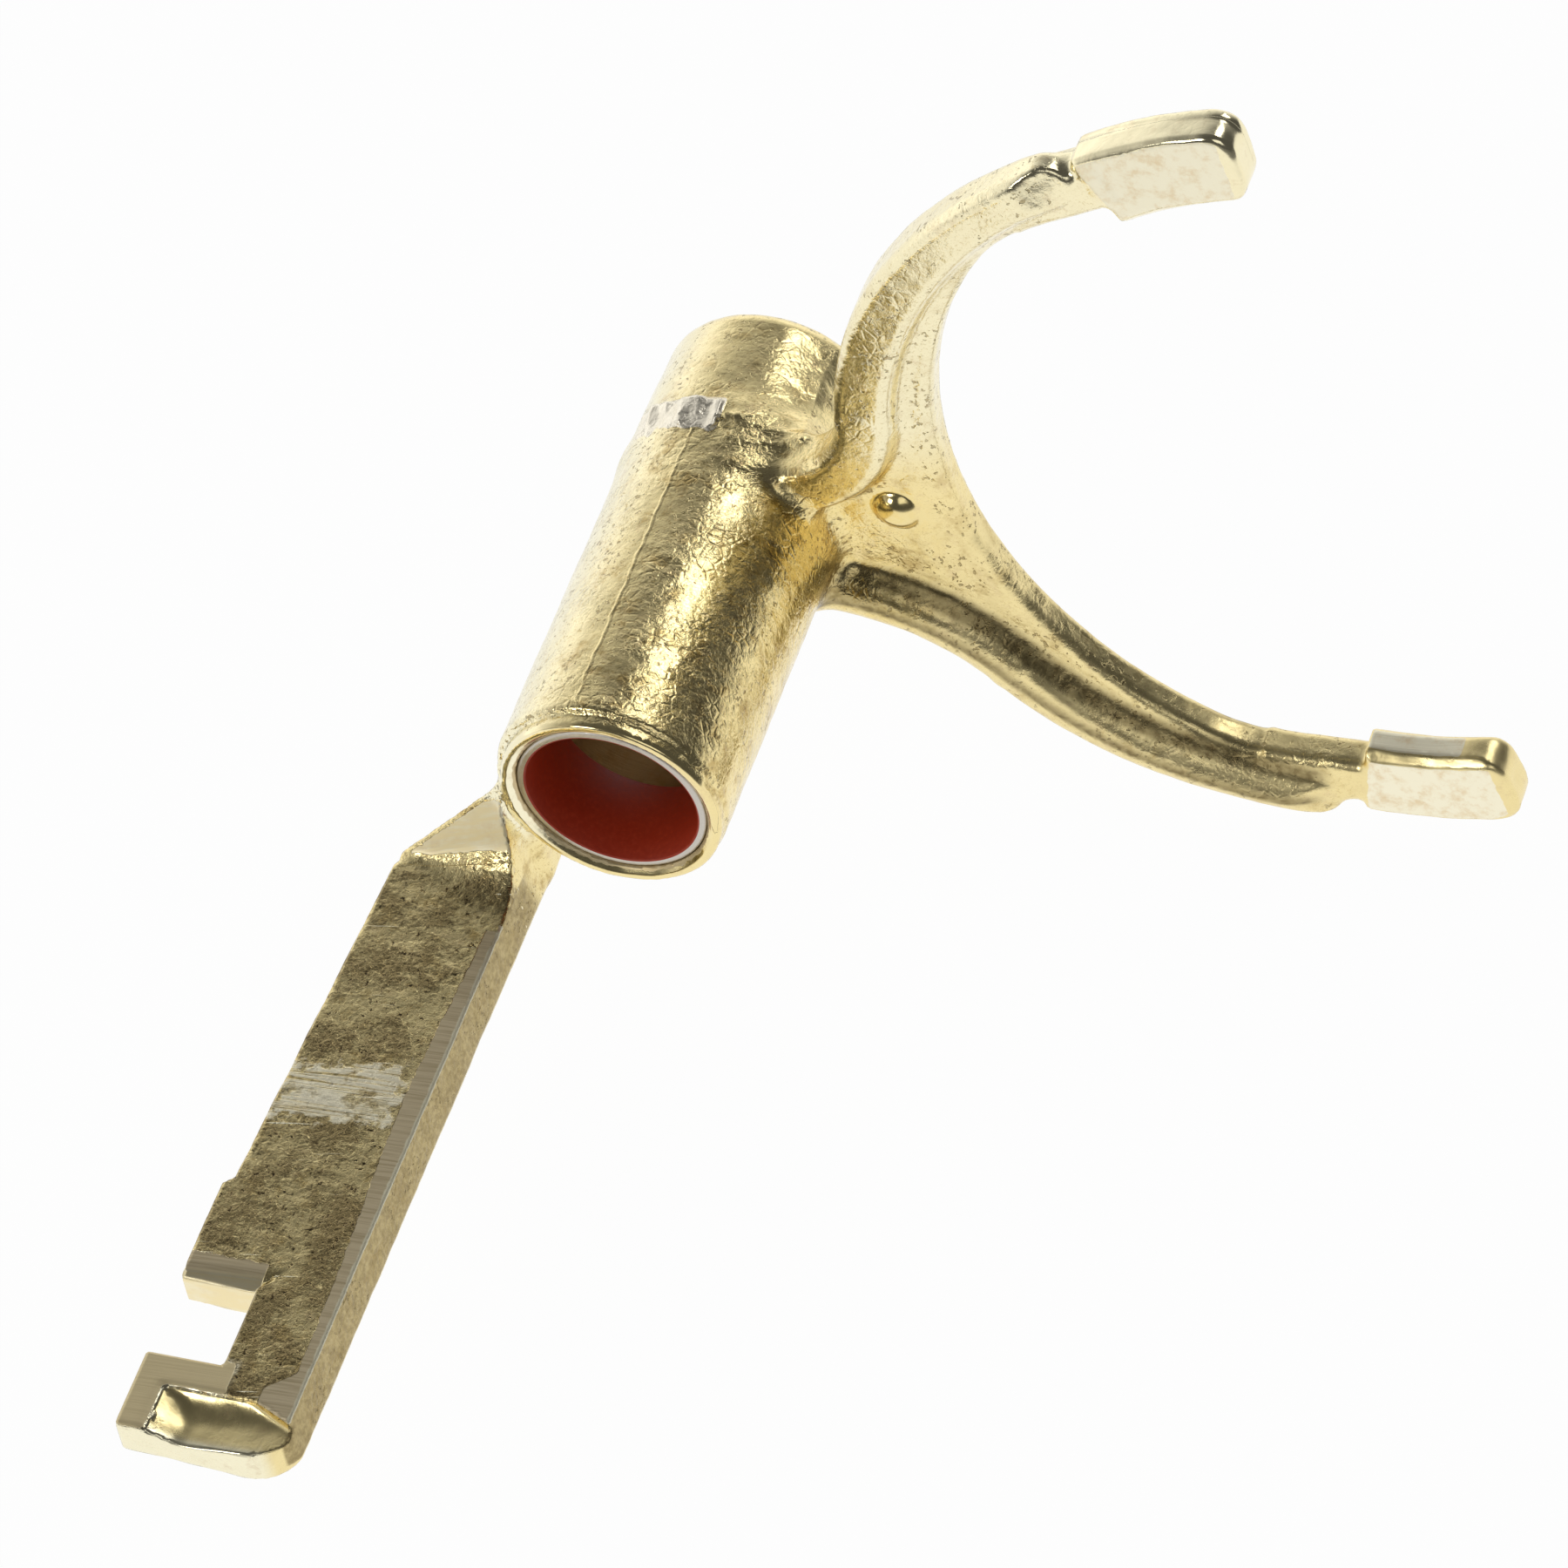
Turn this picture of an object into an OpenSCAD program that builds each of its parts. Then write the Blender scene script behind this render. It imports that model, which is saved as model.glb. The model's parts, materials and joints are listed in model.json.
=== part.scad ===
// Cast brass selector fork for a gearbox, with a lined bush pressed in each end of its barrel.
// Millimetres. The rail runs along Y. The origin is on the rail's axis, in the fork's middle plane.
// The selector arm's wide face is level, and the fork's centre line rises from it.

/* [Rail bore and bushes] */
// Diameter of the selector rail that slides in the bushes
rail_d = 18; // [15:0.5:21]
// Wall of each pressed-in bush
bush_wall = 1; // [0.75:0.25:1.5]
// Length of each bush
bush_len = 10; // [6:0.5:14]
// Depth of each bush below the barrel's end face
bush_sink = 0.6; // [0.4:0.1:1.2]
// Width of the lead-in chamfer around each bush
lead_in = 0.6; // [0.3:0.1:0.9]

/* [Barrel] */
// Wall of the barrel around the bushes
barrel_wall = 2; // [1.75:0.25:3]
// From the barrel's mouth to the fork's middle plane
barrel_front = 41; // [36:0.25:60]
// From the fork's middle plane to the barrel's far face
barrel_back = 17.5; // [15:0.25:30]
// How much the turned collar at the mouth narrows the barrel
collar_step = 0.5; // [0.2:0.1:0.8]
// Length of the turned collar
collar_len = 2.2; // [1:0.2:4]
// Chamfer of the barrel's far end
end_chamfer = 1.2; // [0.5:0.1:1.25]

/* [Fork] */
// Angle of the fork's centre line above the arm's wide face
fork_lift = 15; // [0:1:25]
// From the rail's axis to the centre of the arms' inner edge
fork_reach = 72; // [70:0.5:80]
// Radius of the arms' inner edge
arc_r = 45.5; // [43:0.5:46]
// Width of the palm, measured along the fork's centre line
palm_w = 11; // [10:0.5:13]
// Width of the arms beside the pads
tip_w = 2; // [1.5:0.25:3.5]
// Thickness of the web
web_t = 4; // [3.5:0.25:4.5]
// Diameter of the round rib along the arms' outer edge
rib_d = 6; // [5.5:0.25:7]
// How far the rib stands in front of the web
rib_proud = 2.75; // [2:0.25:3]
// Radius of the curve from the upper arm into the barrel
upper_fillet = 9; // [8:0.5:14]
// Radius of the curve from the lower arm into the barrel
lower_fillet = 24; // [16:0.5:28]
// Angle from the fork's centre line at which each rib stops
rib_stop = 115; // [113:0.5:122]

/* [Pads] */
// From the rail's axis to the centre of the gear sleeve
pad_reach = 70; // [69:0.25:72]
// Radius of the pads' inner faces
pad_r = 39; // [38:0.25:41]
// Width of a pad, measured outward
pad_w = 9; // [7.5:0.25:9.5]
// Thickness of a pad, which runs in the sleeve's groove
pad_t = 4.6; // [4.6:0.1:6.5]
// Angle from the fork's centre line to the free end of a pad
pad_start = 86.5; // [82:0.5:90]
// Angle that a pad covers
pad_span = 21; // [18:0.5:22]

/* [Selector arm] */
// Reach of the arm beyond the barrel's mouth
arm_len = 75.3; // [66:0.1:95]
// From the rail's axis down to the arm's wide face
arm_drop = 10.5; // [9:0.25:13]
// From the rail's axis across to the arm's near edge
arm_offset = 9.9; // [8:0.1:12]
// Width of the arm at its jaws
arm_w = 16.6; // [14:0.2:20]
// How much narrower the arm is before the jaws
waist_step = 1; // [0.5:0.25:2.5]
// How much narrower again the arm is at its root
root_taper = 2.1; // [0:0.1:3]
// Thickness of the arm at its near edge
arm_t = 5.6; // [5:0.2:7]
// Thickness of the arm at its far edge
arm_t_far = 4.2; // [3:0.2:5]
// Slope of the arm's near side, measured across
side_draft = 1.2; // [0:0.1:1.8]
// Width of the gate notch
gate_w = 9.2; // [7:0.2:12]
// Depth of the gate notch
gate_depth = 7.9; // [5:0.1:9]
// Width of the end jaw
jaw_w = 8.9; // [7:0.1:12]
// Length of the other jaw
boss_len = 12.6; // [8:0.2:18]
// Length of the sloped scoop at the arm's end
scoop_len = 5.3; // [3:0.1:6]
// Depth of that scoop
scoop_depth = 1.6; // [1:0.1:2.5]
// Width of the end jaw left flat beside the scoop
scoop_inset = 3; // [1:0.25:5]
// Bevel along the arm's lower near edge
keel = 1; // [0.4:0.1:2]
// Cut corner at the arm's end
end_corner = 2.5; // [0.5:0.25:4]
// Length of the shoulder between the arm and the barrel
shoulder_len = 4; // [3.5:0.25:6]

/* [Casting marks] */
// Diameter of the round pip on the palm
pip_d = 5; // [3:0.25:6]
// Height of the pip
pip_h = 1.3; // [0.6:0.1:1.5]
// Length of the broken-off gate on the barrel
stub_len = 3.4; // [2:0.2:5]
// Width of the broken-off gate
stub_w = 10; // [6:0.5:12]
// Height of the broken-off gate
stub_h = 0.9; // [0.4:0.1:1.5]
// From the fork's middle plane to the broken-off gate
stub_at = 1.2; // [0:0.2:6]
// Angle of the broken-off gate around the barrel
stub_turn = 28; // [10:1:45]

/* [Hidden] */
$fn = 96;
rail_r = rail_d / 2;
bore_r = rail_r + bush_wall;
barrel_r = bore_r + barrel_wall;
barrel_len = barrel_front + barrel_back;
eps = barrel_wall / 4;

// The arms' outer edge is one circle through the palm's back and past both tips.
palm_edge = arc_r + palm_w;
tip_edge = arc_r + tip_w;
outer_r = (palm_edge + tip_edge * tip_edge / palm_edge) / 2;
outer_u = fork_reach + outer_r - palm_edge;

// A curve at each side of the palm runs from that circle into the barrel's wall.
rib_r = rib_d / 2;
rib_bite = 0.4 * barrel_wall;
rib_lap = 1.5;
rib_step = rib_d / 40;
function fillet_out(r) = barrel_r - rib_bite + r;
function fillet_u(r) = (pow(fillet_out(r), 2) - pow(outer_r + r, 2) + outer_u * outer_u) / (2 * outer_u);
function fillet_t(r) = sqrt(pow(fillet_out(r), 2) - pow(fillet_u(r), 2));
function arm_turn(r) = atan2(fillet_t(r), fillet_u(r) - outer_u);
rib_end = rib_stop - asin((fork_reach - outer_u) * sin(rib_stop) / outer_r);
rib_z = web_t / 2 + rib_proud - rib_r;
pad_stop = pad_start + pad_span;
neck_from = 126;

// The arm's places along Y, counted from the mouth toward its end.
jaw_at = arm_len - jaw_w;
gate_at = jaw_at - gate_w;
boss_at = gate_at - boss_len;
edge_x = -arm_offset;
far_x = edge_x - arm_w;
waist_x = far_x + waist_step;
root_x = waist_x + root_taper;
arm_z = -arm_drop;

pip_r = (pip_d * pip_d / 4 + pip_h * pip_h) / (2 * pip_h);
pip_u = (barrel_r + fork_reach - arc_r) / 2;

brass = [0.80, 0.66, 0.36];
steel = [0.78, 0.78, 0.76];

// Turns a flat fork drawing, x along the centre line, into the fork's plane.
module fork_plane() {
    rotate([0, -fork_lift, 0])
        rotate([90, 0, 0])
            children();
}

// Lays a solid that was drawn along Z along Y, from the mouth toward the far end.
module along_barrel() {
    translate([0, -barrel_front, 0])
        rotate([-90, 0, 0])
            children();
}

// Extrudes a drawing of X and Z from the mouth toward the arm's end.
module along_arm(from, to) {
    translate([0, -barrel_front - from, 0])
        rotate([90, 0, 0])
            linear_extrude(to - from)
                children();
}

// Extrudes a drawing of Y (counted from the mouth toward the arm's end) and Z across the arm.
module across_arm(from, to) {
    translate([from, -barrel_front, 0])
        rotate([90, 0, -90])
            translate([0, 0, from - to])
                linear_extrude(to - from)
                    children();
}

// The wedge that the fork leaves open, out to a given angle from its centre line.
module open_wedge(angle) {
    far = 2 * arc_r;
    translate([fork_reach, 0])
        polygon([[0, 0], far * [cos(angle), -sin(angle)], [far, -2 * far], [far, 2 * far],
                 far * [cos(angle), sin(angle)]]);
}

module barrel_body() {
    along_barrel()
        rotate_extrude()
            polygon([[0, 0], [barrel_r - collar_step, 0], [barrel_r, collar_len],
                     [barrel_r, barrel_len - end_chamfer], [barrel_r - end_chamfer, barrel_len],
                     [0, barrel_len]]);
}

// Flat web of the palm and both arms, out to the middle of the rib.
module fork_web() {
    translate([0, 0, -web_t / 2])
        linear_extrude(web_t)
            difference() {
                union() {
                    translate([outer_u, 0])
                        circle(r = outer_r - rib_r);
                    palm_side(upper_fillet);
                    mirror([0, 1])
                        palm_side(lower_fillet);
                }
                translate([fork_reach, 0])
                    circle(r = arc_r);
                open_wedge(rib_stop - 3);
            }
}

// Half of the palm, from the centre line out to the curve at one side.
module palm_side(fillet) {
    difference() {
        polygon([[0, -1], [fillet_u(fillet), fillet_t(fillet)], [outer_u, -1]]);
        translate([fillet_u(fillet), fillet_t(fillet)])
            circle(r = fillet + rib_r);
    }
}

// Point at a radius and an angle from the centre of the arms or of the sleeve.
function at(reach, r, angle) = [reach + r * cos(angle), r * sin(angle)];

// Neck that widens one arm into its pad.
module neck() {
    translate([0, 0, -web_t / 2])
        linear_extrude(web_t)
            polygon([at(pad_reach, pad_r + pad_w - 0.4 * tip_w, pad_stop - 2),
                     at(fork_reach, arc_r + 1.3 * tip_w, rib_stop + 1),
                     at(fork_reach, arc_r + 0.75 * tip_w, neck_from),
                     at(fork_reach, arc_r + 0.1 * tip_w, neck_from),
                     at(pad_reach, pad_r + tip_w, pad_stop), at(pad_reach, pad_r + tip_w, pad_stop - 2)]);
}

// Part of a round ring about a point in the fork's plane.
module rib_arc(centre, ring_r, round_r, from, to) {
    translate([centre[0], centre[1], rib_z])
        rotate([0, 0, from])
            rotate_extrude(angle = to - from)
                translate([ring_r, 0])
                    circle(r = round_r);
}

// Round rib along one arm's outer edge.
// A slightly thinner one starts inside it and curves to the barrel.
module fork_rib(fillet) {
    turn = arm_turn(fillet);
    centre = [fillet_u(fillet), fillet_t(fillet)];
    rib_arc([outer_u, 0], outer_r - rib_r, rib_r, rib_end, turn + rib_lap);
    rib_arc(centre, fillet + rib_r, rib_r - rib_step, 180 + atan2(centre[1], centre[0]), 180 + turn);
}

// Both pads, on a ring about the centre of the sleeve.
module pads() {
    translate([pad_reach, 0, -pad_t / 2])
        linear_extrude(pad_t)
            difference() {
                circle(r = pad_r + pad_w);
                circle(r = pad_r);
                translate([-fork_reach, 0])
                    open_wedge(pad_start);
                polygon([[0, 0], 2 * arc_r * [cos(pad_stop), sin(pad_stop)], [-2 * arc_r, 2 * arc_r],
                         [-2 * arc_r, -2 * arc_r], 2 * arc_r * [cos(pad_stop), -sin(pad_stop)]]);
            }
}

// Round pip that stands on the palm's front face.
module palm_pip() {
    intersection() {
        translate([pip_u, 0, web_t / 2 + pip_h - pip_r])
            sphere(r = pip_r);
        translate([pip_u, 0, 0])
            cylinder(d = 2 * pip_d, h = web_t);
    }
}

module fork_body() {
    fork_plane() {
        difference() {
            union() {
                fork_web();
                fork_rib(upper_fillet);
                mirror([0, 1, 0])
                    fork_rib(lower_fillet);
            }
            translate([fork_reach, 0, -rib_d])
                cylinder(r = arc_r, h = 2 * rib_d);
        }
        palm_pip();
        neck();
        mirror([0, 1, 0])
            neck();
        pads();
    }
}

// Plan of the arm, seen from above, with the jaws' step and the gate notch.
module arm_plan() {
    y = -barrel_front;
    difference() {
        polygon([[edge_x + side_draft, y], [root_x, y], [waist_x, y - boss_at],
                 [far_x, y - boss_at - waist_step], [far_x, y - arm_len],
                 [edge_x + side_draft - end_corner, y - arm_len],
                 [edge_x + side_draft, y - arm_len + end_corner]]);
        translate([far_x - eps, y - jaw_at])
            square([gate_depth + eps, gate_w]);
    }
}

// Section of the arm, deeper along its near side.
module arm_section() {
    polygon([[far_x - eps, arm_z], [edge_x, arm_z], [edge_x + side_draft, arm_z - arm_t + keel],
             [edge_x - 0.6 * keel, arm_z - arm_t], [far_x - eps, arm_z - arm_t_far]]);
}

module selector_arm() {
    difference() {
        intersection() {
            translate([0, 0, arm_z - 2 * arm_t])
                linear_extrude(3 * arm_t)
                    arm_plan();
            along_arm(-eps, arm_len + eps)
                arm_section();
        }
        across_arm(far_x + scoop_inset, 0)
            polygon([[arm_len - scoop_len, arm_z],
                     [arm_len + eps, arm_z - scoop_depth * (1 + eps / scoop_len)],
                     [arm_len + eps, arm_z + eps], [arm_len - scoop_len, arm_z + eps]]);
    }
}

// Sloped shoulder that lifts the arm's root to the barrel's side.
module shoulder() {
    side_x = edge_x + side_draft;
    y = -barrel_front;
    lap = shoulder_len / 6;
    difference() {
        union() {
            intersection() {
                along_arm(-lap, shoulder_len)
                    polygon([[-barrel_r, 0], [root_x, arm_z], [root_x, arm_z - arm_t_far],
                             [side_x, arm_z - arm_t], [side_x, 0]]);
                across_arm(root_x - eps, 0)
                    polygon([[shoulder_len, arm_z], [lap / 2, lap], [-lap, lap], [-lap, arm_z - 2 * arm_t],
                             [shoulder_len, arm_z - 2 * arm_t]]);
                translate([0, 0, arm_z - 2 * arm_t])
                    linear_extrude(4 * arm_t)
                        polygon([[-barrel_r, y + lap], [root_x, y - 3 * lap], [root_x, y - shoulder_len],
                                 [side_x, y - shoulder_len], [side_x, y + lap]]);
            }
            along_arm(-3 * shoulder_len, 0)
                polygon([[-barrel_r + barrel_wall / 6, -barrel_wall],
                         [edge_x - barrel_wall, arm_z - arm_t_far], [side_x, arm_z - arm_t + keel],
                         [side_x + 1.5 * barrel_wall, 2 * barrel_wall - barrel_r], [0, 0]]);
        }
        along_arm(0, shoulder_len + eps)
            circle(r = barrel_r - collar_step);
    }
}

module gate_stub() {
    intersection() {
        rotate([0, -stub_turn, 0])
            translate([-stub_w / 2, stub_at, 0])
                cube([stub_w, stub_len, 2 * barrel_r]);
        along_barrel()
            cylinder(r = barrel_r + stub_h, h = barrel_len);
    }
}

// Seat for both bushes, with a lead-in chamfer at each end.
module rail_way() {
    along_barrel() {
        translate([0, 0, -eps])
            cylinder(r = bore_r, h = barrel_len + 2 * eps);
        cylinder(r1 = bore_r + lead_in, r2 = bore_r, h = bush_sink);
        translate([0, 0, barrel_len - bush_sink])
            cylinder(r1 = bore_r, r2 = bore_r + lead_in, h = bush_sink);
    }
}

module fork_casting() {
    color(brass)
        difference() {
            union() {
                barrel_body();
                fork_body();
                selector_arm();
                shoulder();
                gate_stub();
            }
            rail_way();
        }
}

// Thin lined bush that starts at a given depth below the mouth.
module bush(depth) {
    color(steel)
        along_barrel()
            translate([0, 0, depth])
                difference() {
                    cylinder(r = bore_r, h = bush_len);
                    translate([0, 0, -eps])
                        cylinder(r = rail_r, h = bush_len + 2 * eps);
                }
}

module front_bush() {
    bush(bush_sink);
}

module rear_bush() {
    bush(barrel_len - bush_sink - bush_len);
}

fork_casting();
front_bush();
rear_bush();
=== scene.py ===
"""Dressed model of a transmission shift fork.

The casting is one skin, drawn from a field of signed distances in millimetres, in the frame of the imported
model: the rail runs along Y, and the wide face of the selector arm is level. A lined bush sits in each end.
"""
import json
import math
from types import SimpleNamespace

import bpy
import numpy as np
from mathutils import Matrix, Quaternion, Vector


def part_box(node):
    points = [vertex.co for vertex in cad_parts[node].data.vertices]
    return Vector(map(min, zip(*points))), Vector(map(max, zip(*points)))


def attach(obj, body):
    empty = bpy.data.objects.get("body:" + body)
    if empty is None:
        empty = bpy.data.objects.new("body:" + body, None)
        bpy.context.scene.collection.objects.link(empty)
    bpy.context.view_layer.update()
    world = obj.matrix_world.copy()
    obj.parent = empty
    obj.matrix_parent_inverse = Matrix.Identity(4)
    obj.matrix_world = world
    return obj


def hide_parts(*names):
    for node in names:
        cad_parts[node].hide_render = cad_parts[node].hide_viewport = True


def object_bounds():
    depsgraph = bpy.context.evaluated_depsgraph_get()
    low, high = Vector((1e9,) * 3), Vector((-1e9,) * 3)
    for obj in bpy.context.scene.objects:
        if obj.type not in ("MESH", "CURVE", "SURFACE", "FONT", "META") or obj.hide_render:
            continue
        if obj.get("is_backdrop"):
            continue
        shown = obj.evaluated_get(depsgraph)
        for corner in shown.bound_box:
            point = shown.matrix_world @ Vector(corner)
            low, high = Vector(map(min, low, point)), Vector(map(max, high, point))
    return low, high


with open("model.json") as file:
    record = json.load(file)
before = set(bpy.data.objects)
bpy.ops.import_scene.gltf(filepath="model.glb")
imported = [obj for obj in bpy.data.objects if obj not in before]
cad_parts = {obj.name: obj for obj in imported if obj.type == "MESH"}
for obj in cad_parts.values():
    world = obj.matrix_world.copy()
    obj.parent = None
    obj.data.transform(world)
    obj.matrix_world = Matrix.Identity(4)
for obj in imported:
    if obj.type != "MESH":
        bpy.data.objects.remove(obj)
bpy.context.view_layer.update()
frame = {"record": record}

MM = 0.001


def node_box(name):
    """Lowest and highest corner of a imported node, in millimetres."""
    return tuple(np.array(corner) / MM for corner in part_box(name))


# Barrel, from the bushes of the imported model
front_low, front_high = node_box("front_bush")
rear_low, rear_high = node_box("rear_bush")
cast_low, cast_high = node_box("fork_casting")
rail_bore = next(m for m in frame["record"]["mounts"] if m["name"] == "rail_bore")
RAIL_R = rail_bore["dims"]["r_mm"]
SEAT_R = front_high[0]
BUSH_SINK = 0.6
MOUTH_Y = front_low[1] - BUSH_SINK
FAR_Y = rear_high[1] + BUSH_SINK
COLLAR_R = SEAT_R + 1.55
COLLAR_LEN = 2.2
CAST_R = SEAT_R + 2.1
CAST_SHIFT = (-0.35, 0.13)
LEAD_IN = 0.75

# Fork, in its own plane: u along the centre line, t across it, w toward the mouth
LIFT = math.radians(15)
FORK_REACH = 72.0
ARC_R = 45.5
PALM_EDGE = ARC_R + 11.0
TIP_EDGE = ARC_R + 2.0
OUTER_R = (PALM_EDGE + TIP_EDGE ** 2 / PALM_EDGE) / 2
OUTER_U = FORK_REACH + OUTER_R - PALM_EDGE
WEB_HALF = 2.0
RIB_R = 3.0
RIB_W = WEB_HALF + 2.75 - RIB_R
RIB_STOP = 115.0
ROOT_SINK = 0.9
UPPER_FILLET = 9.0
LOWER_FILLET = 24.0
UPPER_SHIFT = 0.9
PAD_REACH = 70.0
PAD_R = 39.0
PAD_WIDE = 9.0
PAD_HALF = 2.3
PAD_START = 86.5
PAD_STOP = 107.5
PAD_BEVEL = 1.0
NECK_FROM = 128.0
PIP_U = 19.6
PIP_T = 0.6
PIP_H = 1.3
PIP_R = 3.05

# Selector arm: X across, Y along, Z up from its wide face
ARM_Z = -10.5
ARM_DEEP = 5.6
EDGE_X = -9.9
SIDE_X = -8.7
END_Y = cast_low[1]
FAR_X = cast_low[0]
WAIST_X = FAR_X + 1.0
ROOT_X = WAIST_X + 2.1
WAIST_LEN = 44.6
WAIST_Y = MOUTH_Y - WAIST_LEN
SHOULDER_AHEAD = 2.2
PATCH_Y = MOUTH_Y - 37.0
GATE_Y = MOUTH_Y - 61.8
GATE_HALF = 4.6
GATE_X = FAR_X + 7.9
SCOOP_Y = END_Y + 5.8
SCOOP_DEEP = 1.6

# Casting marks on the barrel, as angles round it from +X
SEAM_ANGLE = math.radians(103)
SCAR_FROM = math.radians(92)
SCAR_TO = math.radians(144)
SCAR_Y = (-0.9, 3.9)

# Camera, fitted to the photograph, in metres
CAMERA_AT = (0.21302, -0.44825, 0.51718)
CAMERA_AIM = (0.01658, -0.03526, 0.00051)
CAMERA_ROLL = math.radians(-10.44)

# Direction of the white wall behind the object, seen from above
WALL_SIDE = (-0.77, 0.64)


def smoothstep(low, high, value):
    s = np.clip((value - low) / (high - low), 0.0, 1.0)
    return s * s * (3.0 - 2.0 * s)


def smooth_min(a, b, k):
    """Union of two fields with a fillet of about k."""
    h = np.clip(0.5 + 0.5 * (b - a) / k, 0.0, 1.0)
    return b + (a - b) * h - k * h * (1.0 - h)


def smooth_max(a, b, k):
    """Intersection of two fields with a round edge of about k."""
    return -smooth_min(-a, -b, k)


def side(a, b, start, end):
    """Distance of (a, b) to the line from start to end, positive on its left."""
    run, rise = end[0] - start[0], end[1] - start[1]
    return ((b - start[1]) * run - (a - start[0]) * rise) / math.hypot(run, rise)


def slab(plan, w, half, edge):
    """A flat drawing made a plate of that half thickness, with rounded edges."""
    out, up = plan + edge, np.abs(w) - half + edge
    return np.minimum(np.maximum(out, up), 0.0) + np.hypot(np.maximum(out, 0.0), np.maximum(up, 0.0)) - edge


def fork_axes(x, y, z):
    """Row frame to the fork's own u, t and w."""
    return (
        x * math.cos(LIFT) + z * math.sin(LIFT),
        z * math.cos(LIFT) - x * math.sin(LIFT),
        -y,
    )


def fork_ray(u, t, reach, degrees):
    """Distance past a ray from a centre at that reach, for either arm. It is positive on the open side."""
    angle = math.radians(degrees)
    return math.sin(angle) * (u - reach) - math.cos(angle) * np.abs(t)


def fillet_centre(fillet):
    """Centre of the curve that runs from the barrel's wall into an arm's outer edge."""
    near = CAST_R - ROOT_SINK + fillet
    far = OUTER_R + fillet
    u = (near ** 2 - far ** 2 + OUTER_U ** 2) / (2 * OUTER_U)
    return u, math.sqrt(near ** 2 - u ** 2)


def arc_distance(u, t, centre, radius, start, end):
    """Distance to an arc in the fork's plane, from start to end in degrees."""
    du, dt = u - centre[0], t - centre[1]
    turn = np.degrees(np.arctan2(dt, du)) - (start + end) / 2
    turn = (turn + 180.0) % 360.0 - 180.0
    on_arc = np.abs(turn) <= abs(end - start) / 2
    ends = [
        np.hypot(du - radius * math.cos(math.radians(a)), dt - radius * math.sin(math.radians(a)))
        for a in (start, end)
    ]
    return np.where(on_arc, np.abs(np.hypot(du, dt) - radius), np.minimum(*ends))


def barrel_field(x, y, z):
    """Cast tube, a little off the bore's axis, with a turned collar at its mouth."""
    swell = 0.32 * np.exp(-(y / 2.2) ** 2) * np.clip(-x / CAST_R, 0.0, 1.0)
    taper = 0.3 * smoothstep(6.0, FAR_Y, y)
    radius = np.hypot(x - CAST_SHIFT[0], z - CAST_SHIFT[1]) - (CAST_R + swell - taper)
    front = MOUTH_Y + COLLAR_LEN - 0.5
    middle, half = (front + FAR_Y) / 2, (FAR_Y - front) / 2
    edge = np.where(y > middle, 2.4, 0.5)
    out, along = radius + edge, np.abs(y - middle) - half + edge
    cast = np.minimum(np.maximum(out, along), 0.0)
    cast = cast + np.hypot(np.maximum(out, 0.0), np.maximum(along, 0.0)) - edge
    collar_middle = MOUTH_Y + COLLAR_LEN / 2 + 0.5
    collar = slab(np.hypot(x, z) - COLLAR_R, y - collar_middle, COLLAR_LEN / 2 + 0.5, 0.45)
    return smooth_min(cast, collar, 0.3)


def rib_field(u, t, w, shift, fillet, edge):
    """Rib along one arm's outer edge and on in a curve to the barrel. t is positive toward that arm."""
    centre = fillet_centre(fillet)
    turn = math.degrees(math.atan2(centre[1], centre[0] - OUTER_U))
    lean = math.asin((FORK_REACH - OUTER_U) * math.sin(math.radians(RIB_STOP)) / OUTER_R)
    tip = RIB_STOP - math.degrees(lean)
    around = np.degrees(np.arctan2(t, u - OUTER_U - shift))
    thick = RIB_R - 0.6 * (1.0 - smoothstep(tip, tip + 40.0, around))
    along = arc_distance(u, t, (OUTER_U + shift, 0.0), OUTER_R - RIB_R, tip, turn)
    arm = slab(along - thick, w - RIB_W, thick, edge)
    front = PAD_HALF + (RIB_W + RIB_R - PAD_HALF) * smoothstep(tip - 4.0, tip + 7.0, around)
    arm = smooth_max(arm, w - front, 0.5)
    root_start = 180.0 + math.degrees(math.atan2(centre[1], centre[0]))
    root = arc_distance(u - shift, t, centre, fillet + RIB_R, root_start, 180.0 + turn)
    return smooth_min(arm, slab(root - RIB_R, w - RIB_W, RIB_R, edge), 0.4)


def palm_plan(u, t):
    """Flat drawing of the palm between the two root curves."""
    upper, lower = fillet_centre(UPPER_FILLET), fillet_centre(LOWER_FILLET)
    lower = (lower[0], -lower[1])
    peak = (OUTER_U, 0.0)
    plan = np.maximum(side(u, t, (0.0, 0.0), upper), side(u, t, upper, peak))
    plan = np.maximum(plan, np.maximum(side(u, t, peak, lower), side(u, t, lower, (0.0, 0.0))))
    plan = np.maximum(plan, UPPER_FILLET + RIB_R - np.hypot(u - upper[0], t - upper[1]))
    return np.maximum(plan, LOWER_FILLET + RIB_R - np.hypot(u - lower[0], t - lower[1]))


def pad_field(u, t, w):
    """Both pads, with rounded cast edges and a bevel along their inner faces."""
    radius = np.hypot(u - PAD_REACH, t)
    plan = np.abs(radius - PAD_R - PAD_WIDE / 2) - PAD_WIDE / 2
    plan = smooth_max(plan, fork_ray(u, t, PAD_REACH, PAD_START), 3.4)
    plan = smooth_max(plan, -fork_ray(u, t, PAD_REACH, PAD_STOP), 0.5)
    bevel = (PAD_R + PAD_BEVEL - radius + np.abs(w) - PAD_HALF) / math.sqrt(2)
    return smooth_max(slab(plan, w, PAD_HALF, 0.8), bevel, 0.25)


def inner_edge(u, t):
    """Distance inside the arms' inner edge, which closes in toward the pads."""
    around = np.degrees(np.arctan2(np.abs(t), u - FORK_REACH))
    swing = smoothstep(PAD_STOP + 1.0, NECK_FROM + 4.0, around)
    start = PAD_R + 3.2
    return start + (ARC_R - start) * swing - np.hypot(u - FORK_REACH, t)


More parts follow.
